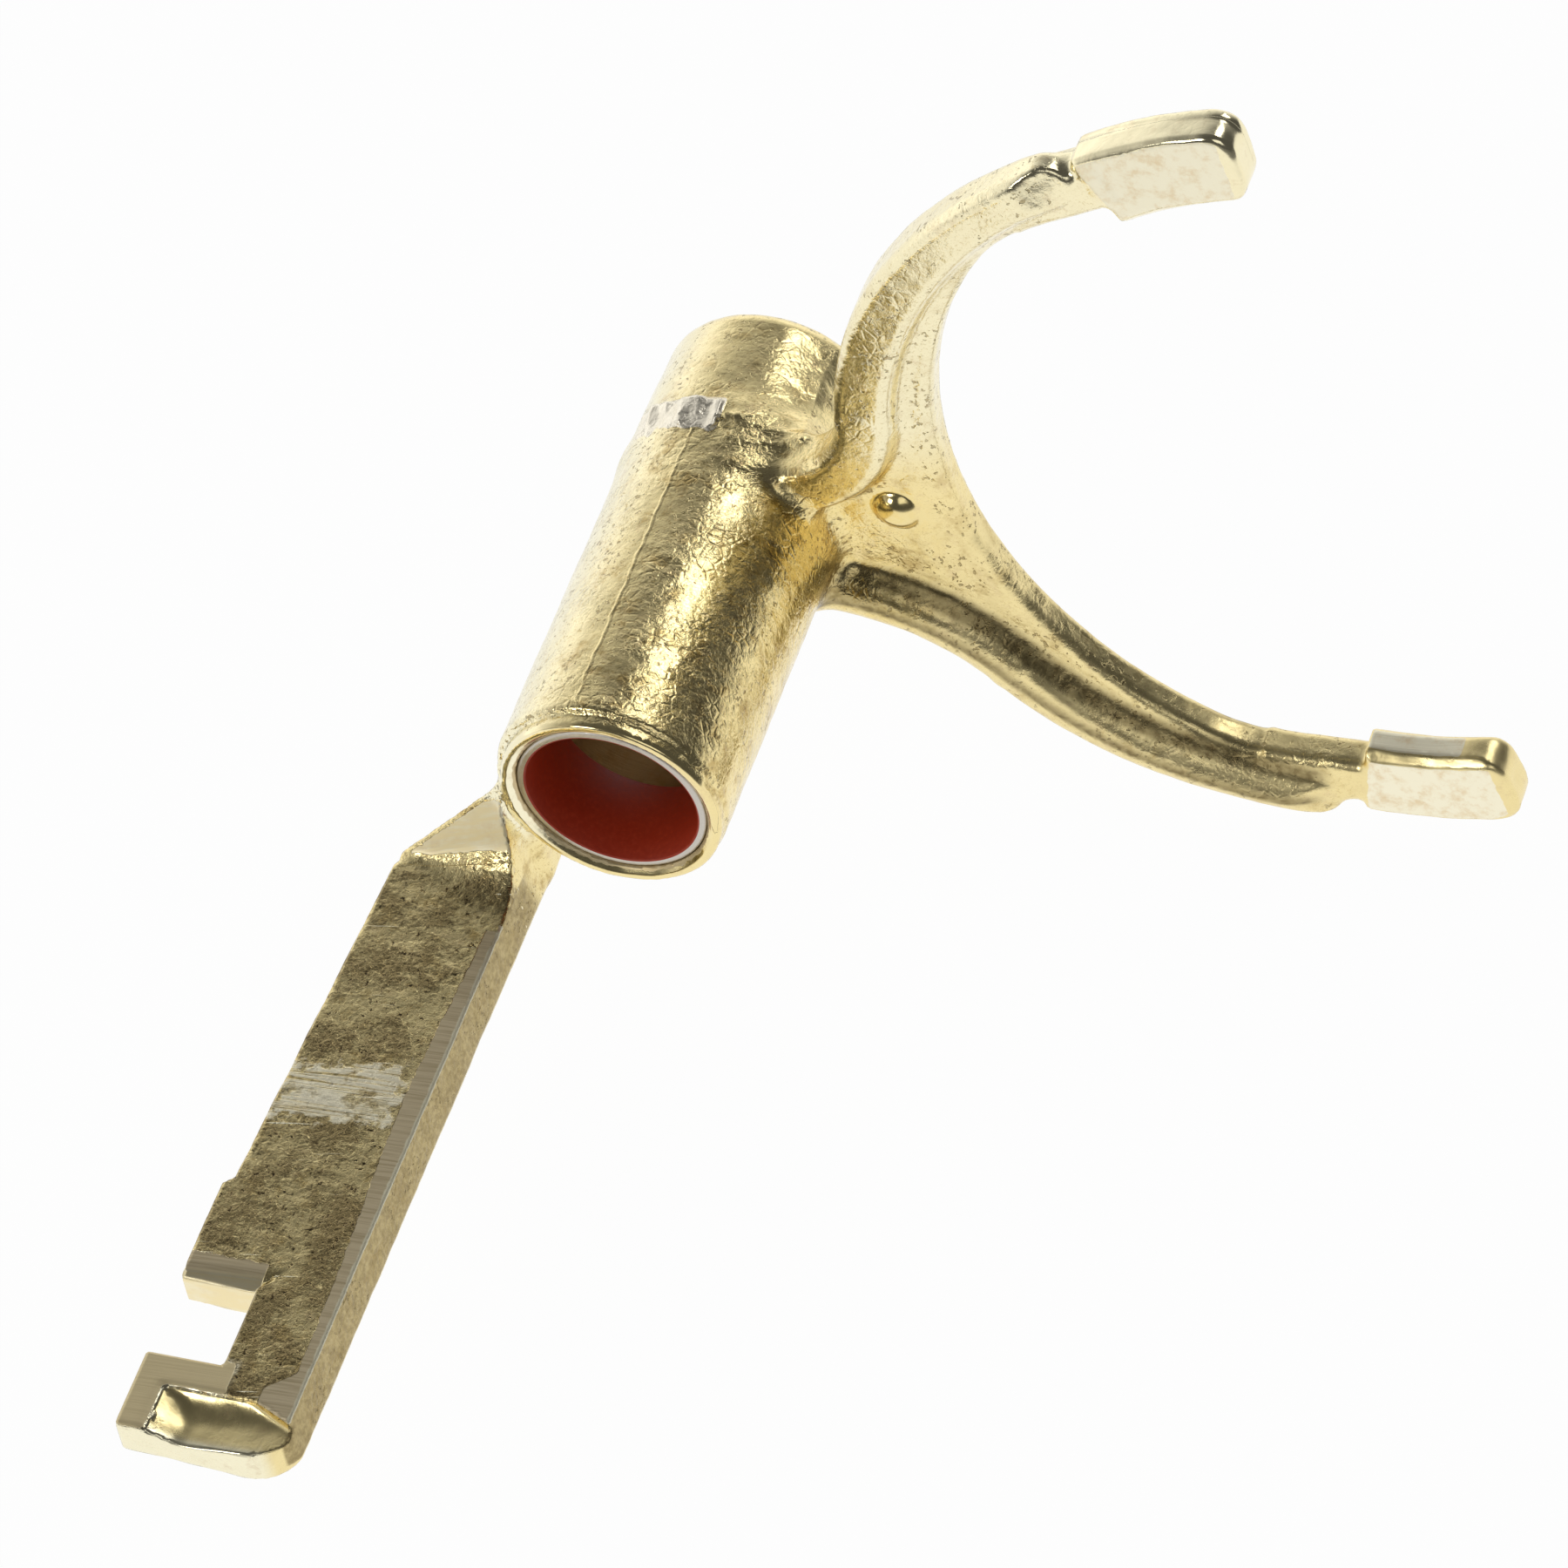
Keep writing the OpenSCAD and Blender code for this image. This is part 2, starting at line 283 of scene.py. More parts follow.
def neck_field(u, t, w):
    """Neck between the end of each arm and its pad."""
    out = np.hypot(u - PAD_REACH, t) - (PAD_R + PAD_WIDE - 0.8)
    plan = np.maximum(np.maximum(out, inner_edge(u, t)), fork_ray(u, t, PAD_REACH, PAD_STOP - 3.0))
    plan = np.maximum(plan, -fork_ray(u, t, FORK_REACH, RIB_STOP + 9.0))
    return slab(plan, w, WEB_HALF, 1.2)


def gusset_field(u, t, w):
    """Saddle behind the upper arm's root, which falls away in a hollow curve toward the barrel's far end."""
    centre = fillet_centre(UPPER_FILLET)
    plan = np.maximum(side(u, t, (0.0, 0.0), centre), UPPER_FILLET - np.hypot(u - centre[0], t - centre[1]))
    plan = np.maximum(np.maximum(plan, -t), u - centre[0] - 2.0)
    back = np.maximum(-w - 1.0, 0.0)
    plan = plan + 2.6 * (1.0 - np.exp(-back / 2.5)) + 0.2 * back
    return np.maximum(plan, np.maximum(w, -w - 12.0))


def fork_field(x, y, z):
    """Web, ribs, necks and pads of the fork."""
    u, t, w = fork_axes(x, y, z)
    plan = np.minimum(np.hypot(u - OUTER_U, t) - (OUTER_R - RIB_R), palm_plan(u, t))
    plan = np.maximum(plan, inner_edge(u, t))
    plan = np.maximum(plan, fork_ray(u, t, PAD_REACH, PAD_STOP - 3.0))
    web = slab(plan, w, WEB_HALF, 1.2)
    upper = rib_field(u, t, w, UPPER_SHIFT, UPPER_FILLET, 1.5)
    lower = rib_field(u, -t, w, 0.0, LOWER_FILLET, 2.8)
    fork = smooth_min(smooth_min(web, upper, 2.0), lower, 2.0)
    fork = smooth_min(fork, neck_field(u, t, w), 1.0)
    fork = smooth_min(fork, gusset_field(u, t, w), 2.5)
    fork = smooth_min(fork, pad_field(u, t, w), 0.9)
    pip_w = w - WEB_HALF - PIP_H + PIP_R
    pip = np.sqrt((u - PIP_U) ** 2 + (t - PIP_T) ** 2 + pip_w ** 2) - PIP_R
    return smooth_min(fork, np.maximum(pip, -w), 0.3)


def arm_flank(x, z, edge):
    """Near side and underside of the arm, joined by a keel, with rounded edges."""
    bottom = ARM_Z - ARM_DEEP
    near = -side(x, z, (SIDE_X, bottom + 1.0), (EDGE_X, ARM_Z))
    keel = side(x, z, (SIDE_X, bottom + 1.0), (EDGE_X - 0.6, bottom))
    under = side(x, z, (EDGE_X - 0.6, bottom), (FAR_X, ARM_Z - 4.2))
    return smooth_max(smooth_max(near, keel, edge), under, edge)


def root_back(x, y):
    """Slanted back end of the arm's root, which runs up to the barrel."""
    return side(x, y, (ROOT_X, MOUTH_Y - 3.0), (-CAST_R, MOUTH_Y + 1.0))


def arm_field(x, y, z):
    """Flat selector arm with its gate notch and the scoop at its end."""
    left_x = ROOT_X + (WAIST_X - ROOT_X) * np.clip((MOUTH_Y - y) / WAIST_LEN, 0.0, 1.0)
    left_x = left_x - (WAIST_X - FAR_X) * smoothstep(WAIST_Y, WAIST_Y - 1.2, y)
    corner = -side(x, y, (SIDE_X - 3.0, END_Y), (SIDE_X, END_Y + 3.0))
    arm = smooth_max(arm_flank(x, z, 0.9), z - ARM_Z, 0.25)
    arm = smooth_max(arm, left_x - x, 0.35)
    arm = smooth_max(arm, smooth_max(END_Y - y, corner, 2.0), 0.7)
    arm = smooth_max(arm, root_back(x, y), 0.8)
    notch = np.maximum(x - GATE_X, np.abs(y - GATE_Y) - GATE_HALF)
    arm = smooth_max(arm, -notch, 0.2)
    wall_y = GATE_Y + GATE_HALF
    tilted_y = y - 0.09 * (x - GATE_X)
    facet = np.maximum(side(tilted_y, z, (wall_y + 2.3, ARM_Z), (wall_y, ARM_Z - 0.75)), wall_y - 0.2 - y)
    facet = np.maximum(facet, -side(x, y, (GATE_X, wall_y), (GATE_X + 1.9, wall_y + 2.5)))
    arm = smooth_max(arm, -facet, 0.15)
    floor = ARM_Z - SCOOP_DEEP - z + 0.05 * (x - GATE_X) - 0.06 * (y - SCOOP_Y + 3.0)
    scoop = smooth_max(floor, side(y, z, (SCOOP_Y, ARM_Z), (SCOOP_Y - 1.3, ARM_Z - SCOOP_DEEP)), 1.6)
    scoop = smooth_max(scoop, -side(x, z, (FAR_X + 2.6, ARM_Z), (FAR_X + 6.4, ARM_Z - SCOOP_DEEP)), 0.4)
    scoop = smooth_max(scoop, -side(x, y, (EDGE_X + 0.3, SCOOP_Y - 2.2), (EDGE_X - 4.5, SCOOP_Y)), 0.6)
    return smooth_max(arm, -scoop, 0.25)


def shoulder_face(x, y, z):
    """Steep front face of the shoulder."""
    return -0.13 * (x - ROOT_X) - 0.90 * (y - MOUTH_Y + SHOULDER_AHEAD) + 0.42 * (z - ARM_Z)


def shoulder_crest(x, y, z):
    """Upper side of the shoulder, which falls away behind its front face."""
    return -0.61 * (x - ROOT_X) + 0.61 * (y - MOUTH_Y + SHOULDER_AHEAD) + 0.51 * (z - ARM_Z)


def shoulder_field(x, y, z):
    """Shoulder with a steep front face, from the arm's root to the barrel's side."""
    shoulder = smooth_max(shoulder_face(x, y, z), shoulder_crest(x, y, z), 0.4)
    shoulder = smooth_max(shoulder, ROOT_X - x, 0.5)
    return smooth_max(shoulder, y - MOUTH_Y - 5.0, 1.0)


def under_rib(x, y, z):
    """Rib under the barrel, which carries the arm's root."""
    bottom = ARM_Z - ARM_DEEP
    keel = -side(y, z, (MOUTH_Y, bottom + 0.6), (MOUTH_Y + 13.0, -CAST_R))
    rib = smooth_max(x - SIDE_X + 0.4, EDGE_X - 2.0 - x, 1.0)
    rib = smooth_max(smooth_max(rib, keel, 1.2), np.abs(y - MOUTH_Y - 7.0) - 6.0, 1.5)
    return np.maximum(rib, z)


def scar_field(x, y, z):
    """Torn stub of the casting's gate: a low ledge of broken facets with a ragged front edge."""
    angle = np.arctan2(z, x)
    tongue = 0.9 * np.exp(-((angle - SEAM_ANGLE - 0.1) / 0.16) ** 2)
    ragged = 1.1 * np.abs(np.sin(5.2 * angle + 0.9)) + 0.35 * np.abs(np.sin(17.0 * angle)) - tongue
    facets = 0.5 * np.abs(((angle * 5.1 + 0.13 * y) % 2.0) - 1.0)
    facets = facets + 0.22 * np.abs(((angle * 12.3 - 0.2 * y + 0.3) % 2.0) - 1.0)
    height = CAST_R + 0.1 + facets + 0.1 * (y - SCAR_Y[0])
    ledge = smooth_max(np.hypot(x, z) - height, SCAR_Y[0] + ragged - y, 0.12)
    ledge = smooth_max(ledge, y - SCAR_Y[1] + 0.5 * np.abs(angle - SCAR_TO), 0.6)
    ends = CAST_R * np.maximum(SCAR_FROM - angle, angle - SCAR_TO)
    return smooth_max(ledge, ends, 0.4)


def casting_shape(x, y, z):
    """Signed distance to the casting's skin, in millimetres."""
    u, t, w = fork_axes(x, y, z)
    body = barrel_field(x, y, z)
    fillet = np.where(t > 0, 2.0 + 3.5 * smoothstep(0.5, -3.5, w), 2.8)
    body = smooth_min(body, fork_field(x, y, z), fillet)
    body = smooth_min(body, scar_field(x, y, z), 0.25)
    pocket = 1.0 + 4.0 * smoothstep(ROOT_X, EDGE_X, x)
    limb = smooth_min(arm_field(x, y, z), shoulder_field(x, y, z), pocket)
    limb = smooth_max(limb, arm_flank(x, z, 0.9), 0.2)
    clear = np.maximum(np.hypot(x, z) - COLLAR_R + 0.3, y - MOUTH_Y)
    body = smooth_min(smooth_min(body, under_rib(x, y, z), 1.5), smooth_max(limb, -clear, 0.5), 1.3)
    rail = np.hypot(x, z) - SEAT_R
    from_end = np.minimum(y - MOUTH_Y, FAR_Y - y)
    rail = rail - LEAD_IN * np.clip(1.0 - from_end / BUSH_SINK, 0.0, 1.5)
    return smooth_max(body, -rail, 0.18)


def waves(count, longest, shortest, seed):
    """Random plane waves, whose sum is a smooth bumpy pattern in space."""
    rng = np.random.default_rng(seed)
    directions = rng.normal(size=(count, 3))
    directions /= np.linalg.norm(directions, axis=1)[:, None]
    lengths = np.geomspace(longest, shortest, count)
    return directions * (2 * math.pi / lengths)[:, None], rng.uniform(0, 2 * math.pi, count), lengths


def wave_sum(pattern, x, y, z):
    total = np.zeros_like(x)
    for (kx, ky, kz), phase, length in zip(*pattern):
        total += length * np.sin(kx * x + ky * y + kz * z + phase)
    return total / np.linalg.norm(pattern[2])


SWELLS = waves(10, 9.0, 4.0, seed=3)
CRINKLES = waves(16, 2.8, 1.3, seed=8)


def milled_depth(x, y, z):
    """How far inside a machined face a point of the skin is, in millimetres. Negative on the cast skin."""
    u, t, w = fork_axes(x, y, z)
    radius = np.hypot(u - PAD_REACH, t)
    bow = 0.012 * (radius - PAD_R - PAD_WIDE / 2) ** 2
    pad_zone = np.minimum(-fork_ray(u, t, PAD_REACH, PAD_START + 2.0), PAD_R + PAD_WIDE + 1.0 - radius)
    pad_zone = np.minimum(pad_zone, fork_ray(u, t, PAD_REACH, PAD_STOP - 0.6) + bow)
    inner = np.minimum(0.08 - np.abs(radius - PAD_R), -fork_ray(u, t, PAD_REACH, PAD_START + 6.0))
    faces = np.maximum(np.abs(w) - PAD_HALF + 0.05, inner) * 8.0
    zone = np.minimum(pad_zone, faces)
    cheek = np.minimum(0.12 - np.abs(shoulder_face(x, y, z)), -0.5 - shoulder_crest(x, y, z)) * 4.0
    zone = np.maximum(zone, np.minimum(cheek, MOUTH_Y - y))
    on_top = (z - ARM_Z + 0.16) * 6.0
    strip_x = EDGE_X - 1.2 - 1.1 * np.exp(-((y - MOUTH_Y + 33.0) / 17.0) ** 2)
    strip_x = strip_x - 2.6 * smoothstep(SCOOP_Y + 4.0, SCOOP_Y + 1.0, y)
    strip = np.minimum(np.minimum(x - strip_x, MOUTH_Y - 10.0 - y), on_top)
    jaw = np.minimum(np.minimum(GATE_Y - GATE_HALF + 0.4 - y, GATE_X + 1.4 - x), on_top)
    gate = np.minimum(GATE_X + 0.25 - x, GATE_HALF + 3.1 - np.abs(y - GATE_Y))
    gate = np.minimum(gate, np.minimum(ARM_Z + 0.3 - z, y - GATE_Y + GATE_HALF + 0.3))
    bore = SEAT_R + 0.3 - np.hypot(x, z)
    return np.maximum(np.maximum(zone, bore), np.maximum(np.maximum(strip, jaw), gate))


def rubbed_patch(x, y):
    """How far inside the rubbed patch of the arm's wide face a point is, in millimetres."""
    corners = [
        (ROOT_X - 1.5, PATCH_Y + 6.5), (EDGE_X - 3.7, PATCH_Y + 8.7),
        (EDGE_X - 2.4, PATCH_Y + 1.7), (ROOT_X - 1.5, PATCH_Y),
    ]
    inside = [-side(x, y, a, b) for a, b in zip(corners, corners[1:] + corners[:1])]
    return np.minimum.reduce(inside)


def rib_painted_reflection(u, t, w):
    """How dark the painted reflection bands along the lower arm's rib are, from 0 to 1. They stand in for
    dark surroundings that the rib reflects, and join at its root.
    """
    centre = fillet_centre(LOWER_FILLET)
    root = (centre[0], -centre[1])
    on_arc = OUTER_R - np.hypot(u - OUTER_U, t)
    on_root = np.hypot(u - root[0], t - root[1]) - LOWER_FILLET
    across = np.where(side(u, t, (OUTER_U, 0.0), root) > 0, on_arc, on_root)
    band = smoothstep(5.1, 5.7, across) * smoothstep(8.0, 6.6, across)
    line = smoothstep(2.6, 3.0, across) * smoothstep(4.6, 3.2, across)
    joined = smoothstep(2.4, 3.2, across) * smoothstep(8.0, 6.6, across)
    joined = joined * smoothstep(24.0, 14.0, np.hypot(u, t))
    reach = smoothstep(-4.0, -9.0, t) * smoothstep(1.0, -2.0, fork_ray(u, t, FORK_REACH, RIB_STOP))
    return np.maximum(np.maximum(band, line), 0.85 * joined) * reach * smoothstep(9.0, 6.0, w)


def arm_share(x, y, z):
    """1 on the selector arm and 0 elsewhere. Beside the collar it reaches further back."""
    beside = smoothstep(-COLLAR_R - 0.4, -COLLAR_R - 1.2, x) * smoothstep(-2.0, -4.0, z)
    return smoothstep(MOUTH_Y - 0.2, MOUTH_Y - 1.5, y - 5.0 * beside)


def scoop_share(y, z):
    """1 inside the scoop at the arm's end and 0 elsewhere."""
    return smoothstep(SCOOP_Y + 1.0, SCOOP_Y - 0.5, y) * (z < ARM_Z - 0.3)


def coarse_share(x, y, z):
    """How strong the cast grain is: most on the barrel and the arm, little on the pads, pip and collar."""
    u, t, w = fork_axes(x, y, z)
    from_axis = np.hypot(x, z)
    from_pip = np.hypot(u - PIP_U, t - PIP_T)
    coarse = 0.55 + 0.45 * np.maximum(smoothstep(26.0, 15.0, from_axis), arm_share(x, y, z))
    coarse = coarse * (1.0 - 0.85 * scoop_share(y, z))
    coarse = coarse * smoothstep(PIP_R - 0.7, PIP_R + 1.0, from_pip + 9.0 * (w < 0))
    coarse = coarse * smoothstep(MOUTH_Y + 0.2, MOUTH_Y + 1.2, np.where(from_axis < COLLAR_R + 0.3, y, 0.0))
    coarse = coarse * (1.0 - 0.8 * smoothstep(-2.0, 0.5, fork_ray(u, t, PAD_REACH, PAD_STOP)))
    return coarse * (1.0 - 0.4 * smoothstep(3.0, 7.0, y))


def painted_highlight_share(x, y, z):
    """How much painted highlight pales the skin: most on the fork's upper arm, the barrel's left side, and
    the end of the arm.
    """
    t = fork_axes(x, y, z)[1]
    on_arm = arm_share(x, y, z)
    painted_highlight = 0.7 * smoothstep(2.0, 14.0, t) * smoothstep(14.0, 26.0, np.hypot(x, z))
    painted_highlight = painted_highlight + smoothstep(-2.0, -11.0, x) * smoothstep(-10.0, -6.0, z) * (1.0 - on_arm)
    painted_highlight = painted_highlight + smoothstep(END_Y + 1.2, END_Y + 0.3, y)
    return painted_highlight + on_arm * (y < GATE_Y - GATE_HALF + 1.0) * (x < GATE_X + 1.8) * (z > ARM_Z - 0.3)


def seam_offset(x, y, z):
    """Distance round the barrel from the wavy parting seam, in millimetres. Large beyond its two ends."""
    at = SEAM_ANGLE + 0.006 * np.sin(0.9 * y) + 0.005 * np.sin(2.3 * y)
    beyond = np.maximum(MOUTH_Y + COLLAR_LEN + 0.4 - y, y - SCAR_Y[0] - 0.4)
    return (np.arctan2(z, x) - at) * CAST_R + 9.0 * np.maximum(beyond, 0.0)


def skin_numbers(x, y, z):
    """Numbers that the casting's material reads at points of its skin, by name."""
    u, t, w = fork_axes(x, y, z)
    from_axis = np.hypot(x, z)
    on_arm = arm_share(x, y, z)
    near_side = np.minimum(x - EDGE_X + 0.15, 0.1 * (MOUTH_Y - 2.0 - y))
    near_side = np.minimum(near_side, np.minimum(ARM_Z + 0.1 - z, z - ARM_Z + 4.2))
    satin = smoothstep(3.0, -5.0, t) * smoothstep(14.0, 20.0, from_axis) * (1.0 - on_arm)
    yolk = smoothstep(27.0, 17.0, from_axis) * smoothstep(11.0, 13.5, from_axis) * smoothstep(10.0, 4.0, t)
    yolk = yolk * smoothstep(-1.0, 1.0, w) * (1.0 - on_arm) * smoothstep(2.0, 6.0, x)
    burr = 0.3 - np.hypot(x - EDGE_X, z - ARM_Z) + 9.0 * np.minimum(MOUTH_Y - 9.0 - y, 0.0)
    return {
        "milled": milled_depth(x, y, z),
        "scar": 0.25 - scar_field(x, y, z),
        "arm_top": np.minimum((z - ARM_Z + 0.3) * 3.0, MOUTH_Y - 4.0 - y),
        "arm_side": near_side,
        "on_arm": on_arm,
        "bore": SEAT_R + 0.4 - from_axis,
        "seam": seam_offset(x, y, z),
        "patch": rubbed_patch(x, y),
        "burr": burr,
        "tan": rib_painted_reflection(u, t, w),
        "satin": np.maximum(satin, 0.7 * scoop_share(y, z)),
        "yolk": yolk,
        "coarse": coarse_share(x, y, z),
        "painted_highlight": painted_highlight_share(x, y, z),
    }


def casting_field(x, y, z):
    """The casting's shape with the swells and crinkles of its skin, the seam and the fold beside the scar."""
    cast = smoothstep(0.3, -0.6, milled_depth(x, y, z))
    relief = 0.02 * wave_sum(SWELLS, x, y, z) + 0.012 * wave_sum(CRINKLES, x, y, z)
    angle = np.arctan2(z, x)
    seam = 0.03 * np.exp(-(seam_offset(x, y, z) / 0.5) ** 2)
    fold_y = SCAR_Y[0] + 1.8 + 2.2 * (SCAR_FROM - angle) + 0.15 * np.sin(7.0 * angle)
    run = smoothstep(1.25, 1.45, angle) * smoothstep(SCAR_FROM + 0.05, SCAR_FROM - 0.05, angle)
    fold = 0.2 * np.exp(-np.abs(y - fold_y - 0.3) / 0.5) * smoothstep(-0.25, 0.25, y - fold_y) * run
    outside = smoothstep(CAST_R - 1.5, CAST_R - 0.6, np.hypot(x, z))
    return casting_shape(x, y, z) - cast * relief - outside * (seam + fold)


def field_gradient(field, points, step=0.06):
    """Gradient of a field at some points, by central differences."""
    gradient = np.empty_like(points)
    for axis in range(3):
        offset = np.zeros(3)
        offset[axis] = step
        ahead, behind = points + offset, points - offset
        gradient[:, axis] = (field(*ahead.T) - field(*behind.T)) / (2 * step)
    return gradient


def settle(field, points, rounds):
    """Moves points along the gradient onto the surface where the field is zero."""
    for _ in range(rounds):
        gradient = field_gradient(field, points)
        length2 = np.maximum((gradient ** 2).sum(1), 0.05)
        move = np.clip(field(*points.T), -0.4, 0.4) / length2
        points = points - move[:, None] * gradient
    return points


def surface_net(field, low, high, step, block=8):
    """Closed quad mesh where a field is zero, with one vertex in each grid cell that the surface crosses."""
    blocks = np.ceil((np.array(high) - low) / (step * block)).astype(int)
    centres = np.stack(np.meshgrid(*[np.arange(n) for n in blocks], indexing="ij"), -1).reshape(-1, 3)
    middle = low + (centres + 0.5) * step * block
    rough = field(*middle.T)
    near = np.flatnonzero(np.abs(rough) < 1.25 * step * block)
    values = rough.reshape(blocks).astype(np.float32)
    for axis in range(3):
        values = np.repeat(values, block, axis)
    local = np.stack(np.meshgrid(*[np.arange(block)] * 3, indexing="ij"), -1).reshape(-1, 3)
    for part in np.array_split(near, max(1, len(near) // 300)):
        nodes = (centres[part][:, None, :] * block + local[None]).reshape(-1, 3)
        values[tuple(nodes.T)] = field(*(low + nodes * step).T)
    inside = values < 0
    total = np.zeros([n - 1 for n in inside.shape], np.uint8)
    corners = [(i, j, k) for i in (0, 1) for j in (0, 1) for k in (0, 1)]
    for i, j, k in corners:
        total += inside[i:i + total.shape[0], j:j + total.shape[1], k:k + total.shape[2]]
    cells = np.flatnonzero((total > 0) & (total < 8))
    place = np.stack(np.unravel_index(cells, total.shape), -1)
    crossing, hits = np.zeros((len(cells), 3)), np.zeros(len(cells))
    for start in corners:
        for axis in range(3):
            if start[axis]:
                continue
            end = list(start)
            end[axis] = 1
            a = values[tuple((place + start).T)].astype(float)
            b = values[tuple((place + end).T)].astype(float)
            cut = (a < 0) != (b < 0)
            share = np.where(cut, a / np.where(cut, a - b, 1.0), 0.0)
            point = np.array(start) + share[:, None] * (np.array(end) - start)
            crossing += np.where(cut[:, None], point, 0.0)
            hits += cut
    vertices = low + (place + crossing / hits[:, None]) * step
    quads = []
    for axis in range(3):
        first, second = [a for a in range(3) if a != axis]
        ahead = np.roll(inside, -1, axis)
        edges = np.argwhere(inside != ahead)
        keep = (edges[:, axis] < total.shape[axis]) & (edges[:, first] > 0) & (edges[:, second] > 0)
        edges = edges[keep & (edges < total.shape).all(1)]
        ring = []
        for back_first, back_second in ((0, 0), (1, 0), (1, 1), (0, 1)):
            cell = edges.copy()
            cell[:, first] -= back_first
            cell[:, second] -= back_second
            ring.append(np.searchsorted(cells, np.ravel_multi_index(cell.T, total.shape)))
        ring = np.stack(ring, -1)
        flip = inside[tuple(edges.T)] == (axis == 1)
        ring[flip] = ring[flip][:, ::-1]
        quads.append(ring)
    return vertices, np.concatenate(quads)


def mesh_object(name, vertices, faces):
    """New object from vertices in millimetres."""
    mesh = bpy.data.meshes.new(name)
    mesh.from_pydata(np.asarray(vertices) * MM, [], np.asarray(faces))
    mesh.update()
    obj = bpy.data.objects.new(name, mesh)
    bpy.context.scene.collection.objects.link(obj)
    return obj


def thinned(obj, triangles):
    """Replaces an object's mesh by one of about that many triangles, kept dense where it curves."""
    modifier = obj.modifiers.new("thin", "DECIMATE")
    modifier.ratio = min(1.0, triangles / (2 * len(obj.data.polygons)))
    bpy.context.view_layer.update()
    mesh = bpy.data.meshes.new_from_object(obj.evaluated_get(bpy.context.evaluated_depsgraph_get()))
    obj.modifiers.clear()
    full, obj.data = obj.data, mesh
    bpy.data.meshes.remove(full)


def point_values(mesh, name, values):
    """Stores one number for each vertex, which a material can read."""
    mesh.attributes.new(name, "FLOAT", "POINT").data.foreach_set("value", np.asarray(values, np.float32))


def build_casting(step, triangles):
    """The casting's skin, settled on its field, with the numbers that its material needs."""
    margin = 2.0
    vertices, quads = surface_net(casting_shape, cast_low - margin, cast_high + margin, step)
    vertices = settle(casting_shape, vertices, 2)
    obj = mesh_object("casting", vertices, quads)
    thinned(obj, triangles)
    mesh = obj.data
    points = np.empty(len(mesh.vertices) * 3, np.float32)
    mesh.vertices.foreach_get("co", points)
    points = settle(casting_field, points.reshape(-1, 3).astype(float) / MM, 3)
    mesh.vertices.foreach_set("co", (points * MM).astype(np.float32).ravel())
    normals = field_gradient(casting_field, points)
    normals /= np.linalg.norm(normals, axis=1)[:, None]
    mesh.shade_smooth()
    mesh.normals_split_custom_set_from_vertices(normals)
    for name, values in skin_numbers(*points.T).items():
        point_values(mesh, name, values)
    mesh.update()
    return obj


def build_bush(name, low_y, high_y, segments=160):
    """Wrapped bush: a steel ring with rounded edges and a thin lining on its bore."""
    outer, lined, edge, bevel = SEAT_R - 0.01, RAIL_R + 0.22, 0.12, 0.35
    profile = [
        (RAIL_R, low_y + edge), (RAIL_R + edge * 0.6, low_y + edge * 0.3), (lined, low_y),
        (outer - bevel, low_y), (outer - bevel * 0.3, low_y + bevel * 0.3), (outer, low_y + bevel),
        (outer, high_y - bevel), (outer - bevel * 0.3, high_y - bevel * 0.3), (outer - bevel, high_y),
        (lined, high_y), (RAIL_R + edge * 0.6, high_y - edge * 0.3), (RAIL_R, high_y - edge),
    ]
    angles = np.linspace(0, 2 * math.pi, segments, endpoint=False)
    vertices = [(r * math.cos(a), y, r * math.sin(a)) for a in angles for r, y in profile]
    faces, lining = [], []
    count = len(profile)
    for s in range(segments):
        for p in range(count):
            a, b = s * count + p, s * count + (p + 1) % count
            c, d = ((s + 1) % segments) * count + (p + 1) % count, ((s + 1) % segments) * count + p
            faces.append((a, d, c, b))
            lining.append(profile[p][0] < lined and profile[(p + 1) % count][0] <= lined)
    obj = mesh_object(name, vertices, faces)
    obj.data.polygons.foreach_set("material_index", np.array(lining, np.int32))
    obj.data.shade_smooth()
    return obj


